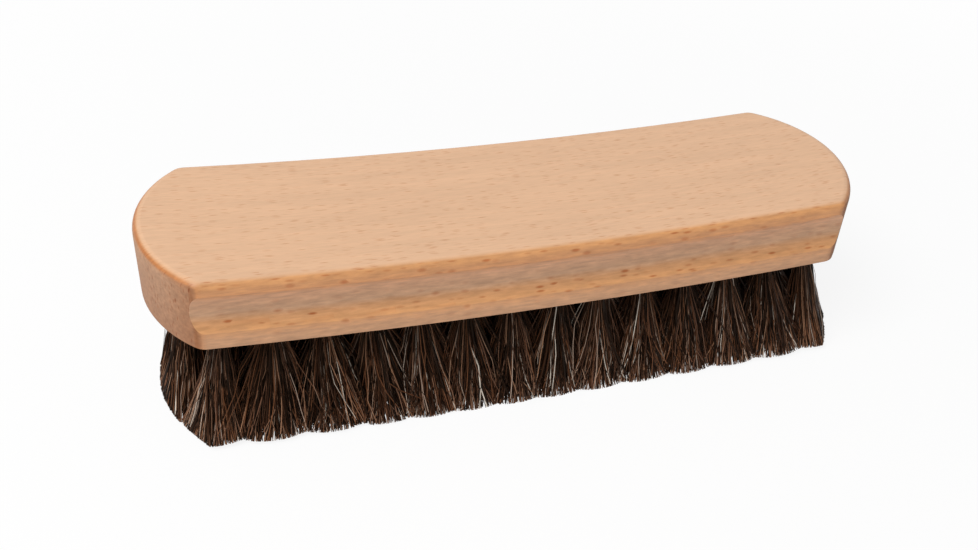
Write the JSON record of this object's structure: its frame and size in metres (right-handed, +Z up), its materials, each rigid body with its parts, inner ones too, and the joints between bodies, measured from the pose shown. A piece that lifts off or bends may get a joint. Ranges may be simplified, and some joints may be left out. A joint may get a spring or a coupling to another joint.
{
  "type": "shoe shine brush",
  "caption": "Oblong hand brush for shining shoes: a bowed hardwood block with rounded ends and a finger cove along each side, set with staggered rows of trimmed horsehair tufts.",
  "frame": {"origin": "under the middle of the block, on the plane that the middle tuft tips stand on", "axes": "+X along the length of the block, +Y across it towards the back, +Z up from the tips to the block"},
  "size_m": [0.17, 0.0494, 0.046],
  "materials": {
    "beech": "satin clear lacquer",
    "horsehair": "natural mixed dark hair",
    "anchor_wire": "drawn flat wire"
  },
  "bodies": {
    "root": {"wood_block": "beech", "tuft_anchors": "anchor_wire", "front_tuft_01": "horsehair", "front_tuft_02": "horsehair", "front_tuft_03": "horsehair", "front_tuft_04": "horsehair", "front_tuft_05": "horsehair", "front_tuft_06": "horsehair", "front_tuft_07": "horsehair", "front_tuft_08": "horsehair", "front_tuft_09": "horsehair", "front_tuft_10": "horsehair", "front_tuft_11": "horsehair", "front_tuft_12": "horsehair", "front_tuft_13": "horsehair", "front_tuft_14": "horsehair", "front_inner_tuft_01": "horsehair", "front_inner_tuft_02": "horsehair", "front_inner_tuft_03": "horsehair", "front_inner_tuft_04": "horsehair", "front_inner_tuft_05": "horsehair", "front_inner_tuft_06": "horsehair", "front_inner_tuft_07": "horsehair", "front_inner_tuft_08": "horsehair", "front_inner_tuft_09": "horsehair", "front_inner_tuft_10": "horsehair", "front_inner_tuft_11": "horsehair", "front_inner_tuft_12": "horsehair", "front_inner_tuft_13": "horsehair", "front_inner_tuft_14": "horsehair", "front_inner_tuft_15": "horsehair", "back_inner_tuft_01": "horsehair", "back_inner_tuft_02": "horsehair", "back_inner_tuft_03": "horsehair", "back_inner_tuft_04": "horsehair", "back_inner_tuft_05": "horsehair", "back_inner_tuft_06": "horsehair", "back_inner_tuft_07": "horsehair", "back_inner_tuft_08": "horsehair", "back_inner_tuft_09": "horsehair", "back_inner_tuft_10": "horsehair", "back_inner_tuft_11": "horsehair", "back_inner_tuft_12": "horsehair", "back_inner_tuft_13": "horsehair", "back_inner_tuft_14": "horsehair", "back_inner_tuft_15": "horsehair", "back_tuft_01": "horsehair", "back_tuft_02": "horsehair", "back_tuft_03": "horsehair", "back_tuft_04": "horsehair", "back_tuft_05": "horsehair", "back_tuft_06": "horsehair", "back_tuft_07": "horsehair", "back_tuft_08": "horsehair", "back_tuft_09": "horsehair", "back_tuft_10": "horsehair", "back_tuft_11": "horsehair", "back_tuft_12": "horsehair", "back_tuft_13": "horsehair", "back_tuft_14": "horsehair"}
  },
  "joints": []
}
